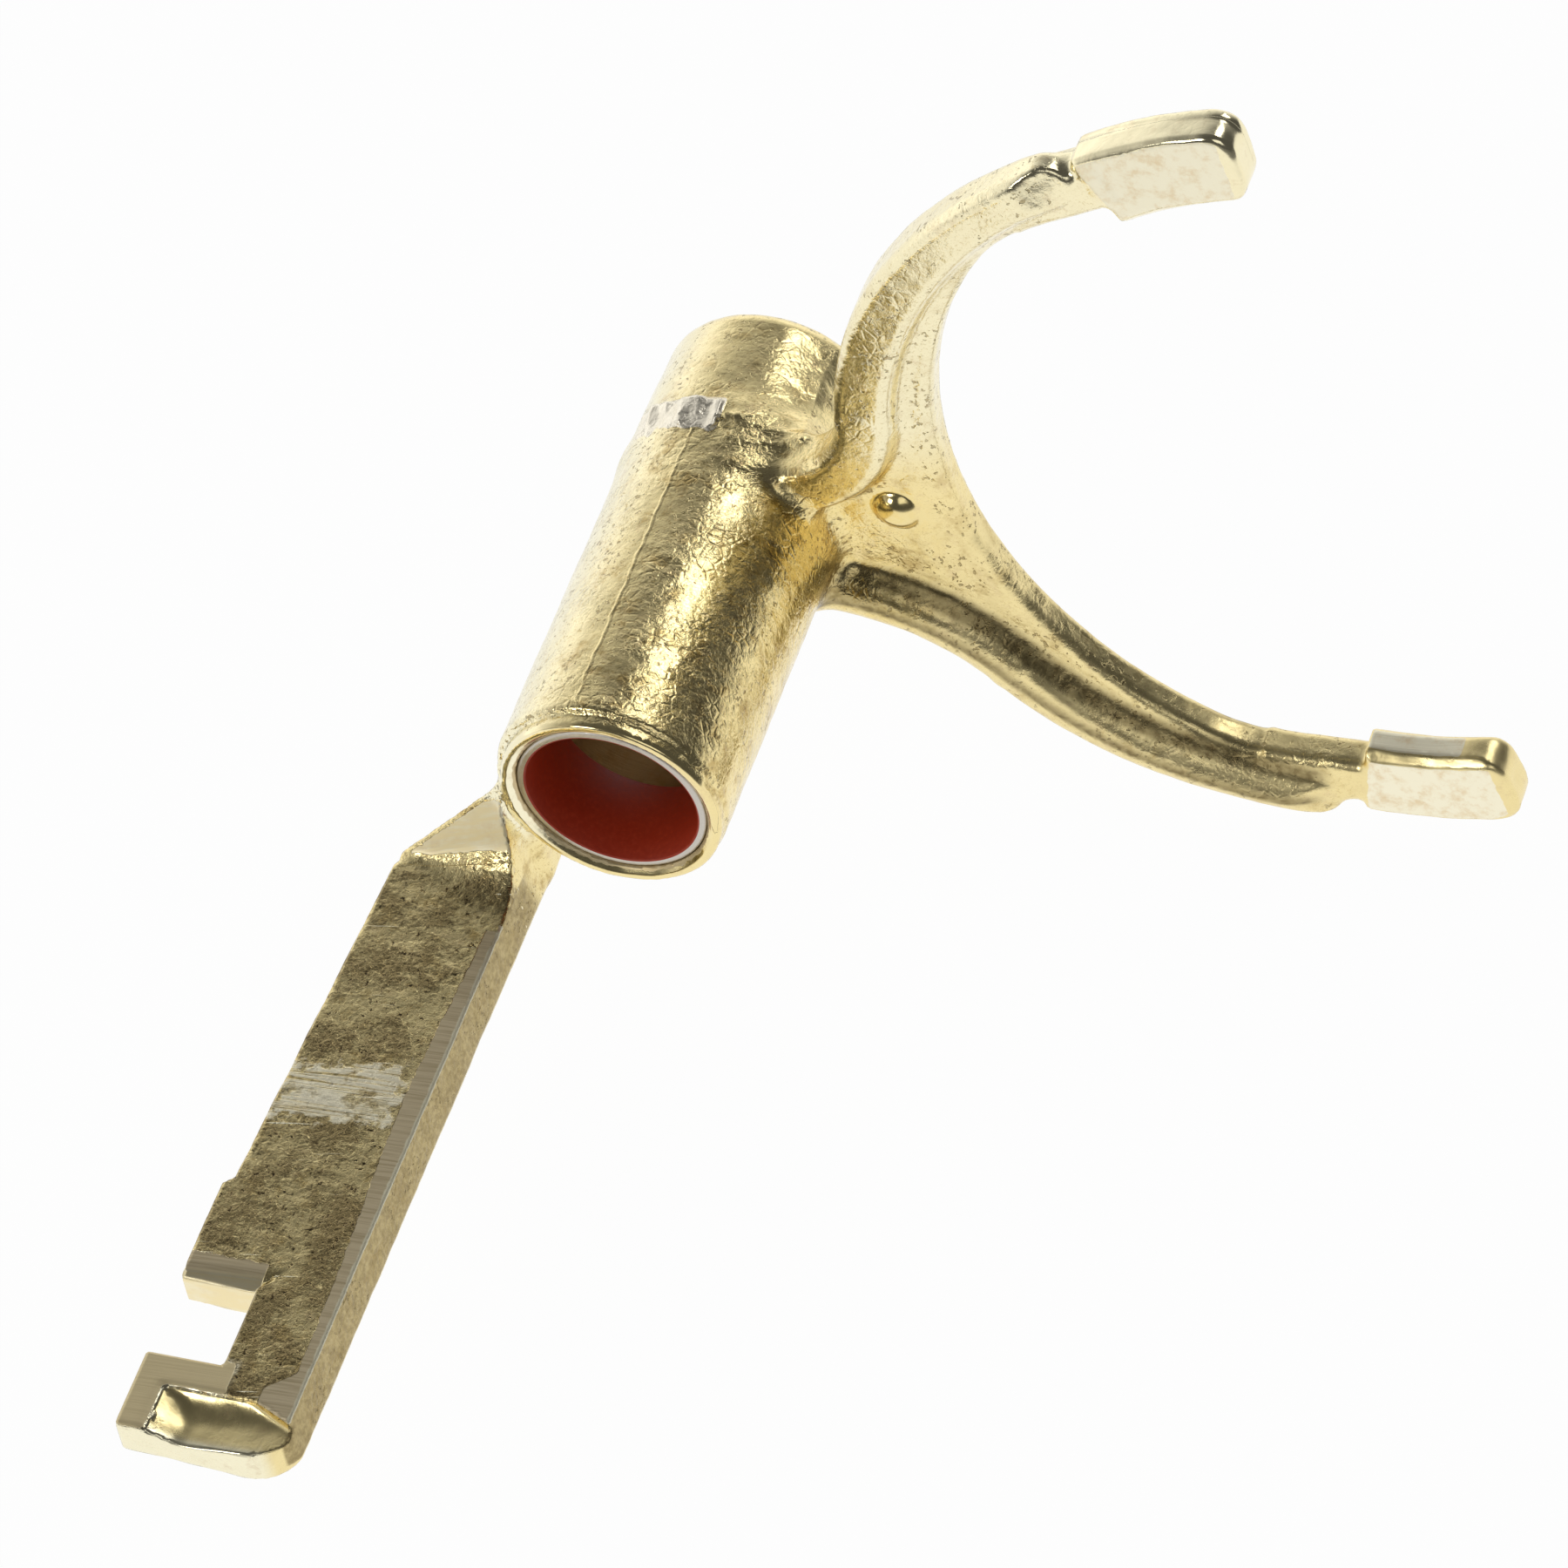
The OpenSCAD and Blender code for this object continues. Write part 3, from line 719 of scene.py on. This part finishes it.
class Shader:
    """Builds the nodes of a material or the world. Inputs go by name, as numbers, colours or sockets."""

    def __init__(self, owner):
        self.owner = owner
        self.owner.use_nodes = True
        self.tree = self.owner.node_tree
        self.surface = self.tree.nodes.get("Principled BSDF")

    def add(self, kind, inputs=None, **settings):
        node = self.tree.nodes.new("ShaderNode" + kind)
        for key, value in settings.items():
            setattr(node, key, value)
        self.feed(node, inputs or {})
        return node

    def feed(self, node, inputs):
        for key, value in inputs.items():
            socket = node.inputs[key]
            if isinstance(value, bpy.types.NodeSocket):
                self.tree.links.new(value, socket)
            else:
                socket.default_value = value

    def math(self, operation, a, b=0.0):
        return self.add("Math", {0: a, 1: b}, operation=operation).outputs[0]

    def plus(self, a, b):
        return self.math("ADD", a, b)

    def times(self, a, b):
        return self.math("MULTIPLY", a, b)

    def dot(self, vector, direction):
        return self.add("VectorMath", {0: vector, 1: direction}, operation="DOT_PRODUCT").outputs["Value"]

    def ramp(self, value, low, high, to_low=0.0, to_high=1.0):
        """Smooth step of a value from low to high."""
        inputs = {"Value": value, "From Min": low, "From Max": high, "To Min": to_low, "To Max": to_high}
        return self.add("MapRange", inputs, interpolation_type="SMOOTHSTEP").outputs[0]

    def mix(self, share, a, b):
        node = self.add("Mix", {0: share}, data_type="RGBA")
        for socket, value in ((node.inputs[6], a), (node.inputs[7], b)):
            if isinstance(value, bpy.types.NodeSocket):
                self.tree.links.new(value, socket)
            else:
                socket.default_value = (*value, 1.0)
        return node.outputs[2]

    def place(self, stretch, turn):
        """Position on the object. What is painted there is stretched along the axes and turned about Z."""
        spot = self.add("TexCoord").outputs["Object"]
        inputs = {"Vector": spot, "Scale": stretch, "Rotation": (0.0, 0.0, math.radians(turn))}
        return self.add("Mapping", inputs, vector_type="TEXTURE").outputs[0]

    def noise(self, size_mm, detail=3.0, rough=0.55, stretch=(1.0, 1.0, 1.0), turn=0.0, distort=0.0):
        inputs = {"Vector": self.place(stretch, turn), "Scale": 1.0 / (size_mm * MM), "Detail": detail}
        inputs.update({"Roughness": rough, "Distortion": distort})
        return self.add("TexNoise", inputs).outputs[0]

    def cells(self, size_mm):
        """Distance to the edges of cells of about that size, as a share of it."""
        inputs = {"Vector": self.place((1.0, 1.0, 1.0), 0.0), "Scale": 1.0 / (size_mm * MM)}
        return self.add("TexVoronoi", inputs, feature="DISTANCE_TO_EDGE").outputs["Distance"]

    def stored(self, name):
        return self.add("Attribute", attribute_name=name).outputs["Fac"]

    def bump(self, height):
        """Normal of the surface raised by a height in metres."""
        return self.add("Bump", {"Height": height, "Strength": 1.0, "Distance": 1.0}).outputs[0]


GOLD = (0.91, 0.76, 0.385)
PALE_GOLD = (0.96, 0.91, 0.68)
CREAM = (0.95, 0.82, 0.50)
YOLK = (0.89, 0.69, 0.26)
DEEP_GOLD = (0.48, 0.33, 0.11)
ROSE = (0.60, 0.43, 0.26)
BROWN = (0.34, 0.26, 0.12)
# Colour of the painted dark reflections on the lower rib and the painted shadow beside the seam.
PAINTED_SHADE_BROWN = (0.20, 0.15, 0.065)
SOOT = (0.06, 0.042, 0.018)
MILLED = (0.98, 0.92, 0.71)
STAIN = (0.80, 0.62, 0.36)
WORN = (0.74, 0.64, 0.44)
SILVER = (0.98, 0.91, 0.75)


def casting_masks(s):
    """Where each kind of surface lies on the casting, and patterns that its colour and relief share."""
    wobble = s.math("SUBTRACT", s.noise(1.2, 4.0), 0.5)
    arm_top = s.ramp(s.stored("arm_top"), -0.2, 0.6)
    coarse = s.stored("coarse")
    seam = s.plus(s.stored("seam"), s.times(wobble, 0.35))
    brushed = s.noise(0.22, 3.0, 0.6, stretch=(45.0, 1.0, 5.0), turn=3.0)
    patch = s.plus(s.stored("patch"), s.times(wobble, 6.0))
    patch = s.times(s.ramp(patch, -0.5, 0.6), arm_top)
    patch = s.times(patch, s.ramp(brushed, 0.36, 0.5))
    patch = s.times(patch, s.ramp(s.noise(4.0, 4.0, 0.6), 0.38, 0.5, 0.15, 1.0))
    pit = s.times(s.ramp(s.noise(0.6, 2.0), 0.60, 0.68), s.ramp(s.noise(4.0, 2.0), 0.46, 0.56))
    scratch = s.ramp(s.noise(0.4, 1.0, stretch=(26.0, 1.0, 1.0), turn=10.0), 0.71, 0.76)
    return SimpleNamespace(
        milled=s.ramp(s.plus(s.stored("milled"), s.times(wobble, 0.6)), -0.06, 0.06),
        scar=s.ramp(s.stored("scar"), -0.05, 0.1),
        arm_top=arm_top,
        arm_side=s.ramp(s.stored("arm_side"), -0.1, 0.2),
        bore=s.ramp(s.stored("bore"), -0.1, 0.1),
        on_arm=s.stored("on_arm"),
        coarse=coarse,
        painted_highlight=s.math("MINIMUM", s.stored("painted_highlight"), 1.0),
        burr=s.ramp(s.plus(s.stored("burr"), s.times(wobble, 0.3)), -0.1, 0.05),
        ridge=s.ramp(s.math("ABSOLUTE", seam), 0.24, 0.0),
        shade=s.ramp(s.math("ABSOLUTE", s.plus(seam, 0.24)), 0.12, 0.0),
        brushed=brushed,
        patch=patch,
        crinkle=s.noise(0.34, 3.0, 0.62, distort=1.0),
        pebble=s.noise(1.1, 3.0, 0.5, distort=0.6),
        pit=s.times(pit, s.ramp(coarse, 0.3, 0.5)),
        scratch=s.times(scratch, arm_top),
    )


def skin_colour(s, at):
    """Cast skin: gold with painted highlights where it is paler and deeper in places, painted dark
    reflections along the lower rib, a painted shadow beside the seam, and a dull, scratched arm.
    """
    # Painted highlight: paler gold where the skin reflects the bright surroundings.
    skin = s.mix(s.times(at.painted_highlight, 0.9), GOLD, PALE_GOLD)
    skin = s.mix(s.times(s.stored("yolk"), s.ramp(at.pebble, 0.35, 0.6, 0.65, 0.25)), skin, YOLK)
    skin = s.mix(s.ramp(s.noise(1.8, 5.0, 0.7), 0.52, 0.72, 0.0, 0.3), skin, ROSE)
    # Darker gold in the low places of the fine grain.
    skin = s.mix(s.times(s.ramp(at.crinkle, 0.45, 0.32, 0.0, 0.6), at.coarse), skin, DEEP_GOLD)
    skin = s.mix(s.times(at.pit, 0.65), skin, BROWN)
    smoke = s.times(s.ramp(s.noise(3.0, 6.0, 0.7), 0.50, 0.68, 0.0, 0.7), at.coarse)
    smoke = s.times(smoke, s.ramp(at.painted_highlight, 0.0, 1.0, 1.0, 0.15))
    skin = s.mix(smoke, skin, DEEP_GOLD)
    # Painted dark reflections: bands along the lower rib.
    skin = s.mix(s.times(s.stored("tan"), s.ramp(at.pebble, 0.3, 0.6, 0.98, 0.75)), skin, PAINTED_SHADE_BROWN)
    # Painted shadow: a dark line beside the seam's ridge.
    skin = s.mix(s.times(at.shade, 0.5), skin, PAINTED_SHADE_BROWN)
    dull = s.times(at.arm_top, s.math("SUBTRACT", 1.0, at.patch))
    grain = s.plus(s.noise(5.0, 5.0, 0.6), s.times(s.noise(0.6, 4.0, 0.7), 0.6))
    skin = s.mix(s.times(dull, s.ramp(grain, 0.66, 0.92, 0.0, 0.92)), skin, BROWN)
    speck = s.times(dull, s.ramp(s.noise(0.6, 4.0, 0.6), 0.58, 0.72))
    skin = s.mix(speck, skin, SOOT)
    skin = s.mix(at.scratch, skin, PALE_GOLD)
    skin = s.mix(at.patch, skin, MILLED)
    # The arm's near side face is mixed toward brown in a noise pattern.
    side_browning = s.ramp(s.noise(0.7, 5.0, 0.7), 0.35, 0.65, 0.65, 0.95)
    return s.mix(s.times(at.arm_side, side_browning), skin, BROWN)


def cut_colour(s, at):
    """Machined faces: pale and stained on the pads, worn on the arm and deep gold in the bore."""
    cut = s.mix(s.ramp(s.noise(2.2, 5.0, 0.7), 0.45, 0.72, 0.0, 0.75), MILLED, STAIN)
    worn = s.mix(s.ramp(at.brushed, 0.3, 0.6, 0.5, 0.95), BROWN, WORN)
    # Painted highlight: the worn faces are mixed toward cream where the highlight share is high.
    worn = s.mix(s.times(at.painted_highlight, 0.65), worn, CREAM)
    cut = s.mix(s.times(at.on_arm, s.ramp(at.brushed, 0.35, 0.6, 0.45, 1.0)), cut, CREAM)
    cut = s.mix(s.times(at.on_arm, at.arm_top), cut, worn)
    return s.mix(s.times(at.bore, 0.65), cut, DEEP_GOLD)


def casting_rough(s, at):
    """Roughness: bright on most of the cast skin, duller on the palm, the arm, its patch and the scar."""
    skin = s.ramp(s.noise(2.4, 5.0, 0.6), 0.3, 0.75, 0.11, 0.22)
    duller = [
        (s.stored("satin"), 0.14), (at.arm_top, 0.06), (at.patch, 0.3), (at.arm_side, 0.2), (at.scar, 0.15),
    ]
    for mask, amount in duller:
        skin = s.plus(skin, s.times(mask, amount))
    cut = s.ramp(s.times(at.on_arm, at.arm_top), 0.0, 1.0, 0.42, 0.6)
    return s.add("Mix", {0: at.milled, 2: skin, 3: cut}).outputs[0]


def casting_relief(s, at):
    """Height of the fine relief: cast grain, cracks, torn scar, seam, scratches, pits and cutter marks."""
    skin = s.plus(s.times(at.crinkle, 0.04 * MM), s.times(at.pebble, 0.085 * MM))
    crackle = s.times(s.ramp(s.cells(1.1), 0.0, 0.2), s.ramp(s.noise(6.0, 3.0), 0.4, 0.6))
    skin = s.plus(skin, s.times(crackle, s.ramp(at.arm_top, 0.0, 1.0, 0.032 * MM, 0.012 * MM)))
    uneven = s.ramp(s.noise(5.0, 3.0, 0.6), 0.35, 0.65, 0.5, 1.3)
    skin = s.times(skin, s.plus(uneven, s.times(at.arm_top, 0.4)))
    torn = s.times(s.noise(0.7, 3.0, 0.6, stretch=(1.0, 5.0, 1.0), distort=0.8), 0.07 * MM)
    skin = s.plus(skin, s.times(torn, at.scar))
    skin = s.plus(s.times(skin, at.coarse), s.times(at.ridge, 0.04 * MM))
    skin = s.plus(skin, s.times(at.scratch, 0.05 * MM))
    skin = s.plus(skin, s.times(s.times(at.patch, at.brushed), 0.07 * MM))
    skin = s.math("SUBTRACT", skin, s.times(at.pit, 0.06 * MM))
    cut = s.times(at.brushed, 0.02 * MM)
    return s.add("Mix", {0: at.milled, 2: skin, 3: cut}).outputs[0]


def casting_material():
    """Bright cast brass with machined faces, a tarnished arm and a torn scar, as the stored numbers say."""
    s = Shader(bpy.data.materials.new("cast_brass"))
    at = casting_masks(s)
    colour = s.mix(at.milled, skin_colour(s, at), cut_colour(s, at))
    colour = s.mix(at.burr, colour, PALE_GOLD)
    colour = s.mix(at.scar, colour, SILVER)
    metal = s.ramp(s.math("MAXIMUM", s.times(at.scar, 0.12), at.burr), 0.0, 1.0, 1.0, 0.3)
    s.feed(s.surface, {"Base Color": colour, "Metallic": metal})
    s.feed(s.surface, {"Roughness": casting_rough(s, at), "Normal": s.bump(casting_relief(s, at))})
    return s.owner


def steel_material():
    """Bare cut edge and back of a bush."""
    s = Shader(bpy.data.materials.new("bush_steel"))
    grain = s.noise(0.3, 4.0, 0.7)
    colour = s.mix(grain, (0.46, 0.42, 0.36), (0.78, 0.74, 0.67))
    s.feed(s.surface, {"Base Color": colour, "Metallic": 1.0})
    s.feed(s.surface, {"Roughness": s.ramp(grain, 0.3, 0.7, 0.28, 0.5)})
    s.feed(s.surface, {"Normal": s.bump(s.times(grain, 0.03 * MM))})
    return s.owner


def lining_material():
    """Dark red sliding lining of a bush."""
    s = Shader(bpy.data.materials.new("bush_lining"))
    speck = s.noise(0.5, 5.0, 0.7)
    colour = s.mix(s.ramp(speck, 0.4, 0.75), (0.50, 0.042, 0.012), (0.60, 0.065, 0.02))
    s.feed(s.surface, {"Base Color": colour, "Roughness": s.ramp(speck, 0.3, 0.7, 0.42, 0.55)})
    s.feed(s.surface, {"Normal": s.bump(s.times(speck, 0.015 * MM))})
    return s.owner


def floor_material():
    """White floor that keeps a faint shadow, with a painted fall-off of light: it fades to grey away from the
    wall.
    """
    s = Shader(bpy.data.materials.new("floor_white"))
    path = s.add("LightPath").outputs
    seen = s.math("MAXIMUM", path["Is Camera Ray"], path["Is Glossy Ray"])
    seen = s.math("MAXIMUM", seen, path["Is Transmission Ray"])
    white = s.ramp(s.dot(s.add("TexCoord").outputs["Object"], (*WALL_SIDE, 0.0)), -0.34, -0.16)
    glow = s.add("Emission", {"Color": (1.0, 1.0, 1.0, 1.0), "Strength": 1.0})
    s.feed(s.surface, {"Base Color": s.mix(white, (0.4, 0.4, 0.4), (0.9, 0.9, 0.9)), "Roughness": 0.9})
    s.feed(s.surface, {"Specular IOR Level": 0.0})
    share = s.times(s.times(seen, 0.975), white)
    both = s.add("MixShader", {0: share, 1: s.surface.outputs[0], 2: glow.outputs[0]})
    s.tree.links.new(both.outputs[0], s.tree.nodes["Material Output"].inputs["Surface"])
    return s.owner


def aimed(location, target, roll=0.0):
    """Matrix of a camera or lamp that looks from a place at a target."""
    turn = (Vector(target) - Vector(location)).to_track_quat("-Z", "Y")
    turn = turn @ Quaternion((0.0, 0.0, 1.0), roll)
    return Matrix.Translation(location) @ turn.to_matrix().to_4x4()


def add_camera():
    data = bpy.data.cameras.new("camera")
    data.lens = 160.0
    data.sensor_width = 36.0
    data.clip_end = 20.0
    camera = bpy.data.objects.new("camera", data)
    camera.matrix_world = aimed(CAMERA_AT, CAMERA_AIM, CAMERA_ROLL)
    bpy.context.scene.collection.objects.link(camera)
    bpy.context.scene.camera = camera


def add_softbox(name, direction, distance, size, power):
    data = bpy.data.lights.new(name, "AREA")
    data.shape = "RECTANGLE"
    data.size, data.size_y = size
    data.energy = power
    lamp = bpy.data.objects.new(name, data)
    middle = Vector((0.02, -0.03, 0.0))
    lamp.matrix_world = aimed(middle + Vector(direction).normalized() * distance, middle)
    bpy.context.scene.collection.objects.link(lamp)


def add_world():
    """Soft surroundings: a white wall at the back left that fades upward, in a dim room."""
    world = bpy.data.worlds.new("world")
    bpy.context.scene.world = world
    world.use_nodes = True
    s = Shader(world)
    toward = s.add("TexCoord").outputs["Generated"]
    wall = s.ramp(s.dot(toward, (*WALL_SIDE, 0.0)), -0.15, 0.6)
    height = s.add("SeparateXYZ", {0: toward}).outputs["Z"]
    fade = s.add("MapRange", {"Value": height, 1: 0.1, 2: 0.86, 3: 1.15, 4: 0.04}).outputs[0]
    strength = s.plus(s.times(wall, fade), 0.08)
    s.feed(s.tree.nodes["Background"], {"Color": (1.0, 1.0, 1.0, 1.0), "Strength": strength})


def add_floor(height):
    bpy.ops.mesh.primitive_plane_add(size=12.0, location=(0.0, 0.0, height))
    floor = bpy.context.object
    floor.name = "floor"
    floor.data.materials.append(floor_material())
    floor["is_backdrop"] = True


casting = build_casting(step=0.45, triangles=190000)
casting.data.materials.append(casting_material())
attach(casting, "root")
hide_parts("fork_casting")

steel, lining = steel_material(), lining_material()
for node, (low, high) in (("front_bush", (front_low, front_high)), ("rear_bush", (rear_low, rear_high))):
    bush = build_bush(node.replace("_", "_lined_"), low[1], high[1])
    bush.data.materials.append(steel)
    bush.data.materials.append(lining)
    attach(bush, "root")
    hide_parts(node)

add_camera()
add_world()
add_floor(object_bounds()[0][2] - 0.0005)
add_softbox("key", (0.26, 0.60, 0.75), 1.3, (0.45, 0.4), 1.6)
add_softbox("front", (0.38, -0.71, 0.59), 1.3, (0.8, 0.6), 1.4)
add_softbox("front_left", (-0.46, -0.76, 0.45), 1.3, (0.35, 0.35), 2.4)
bpy.context.scene.view_settings.view_transform = "Standard"
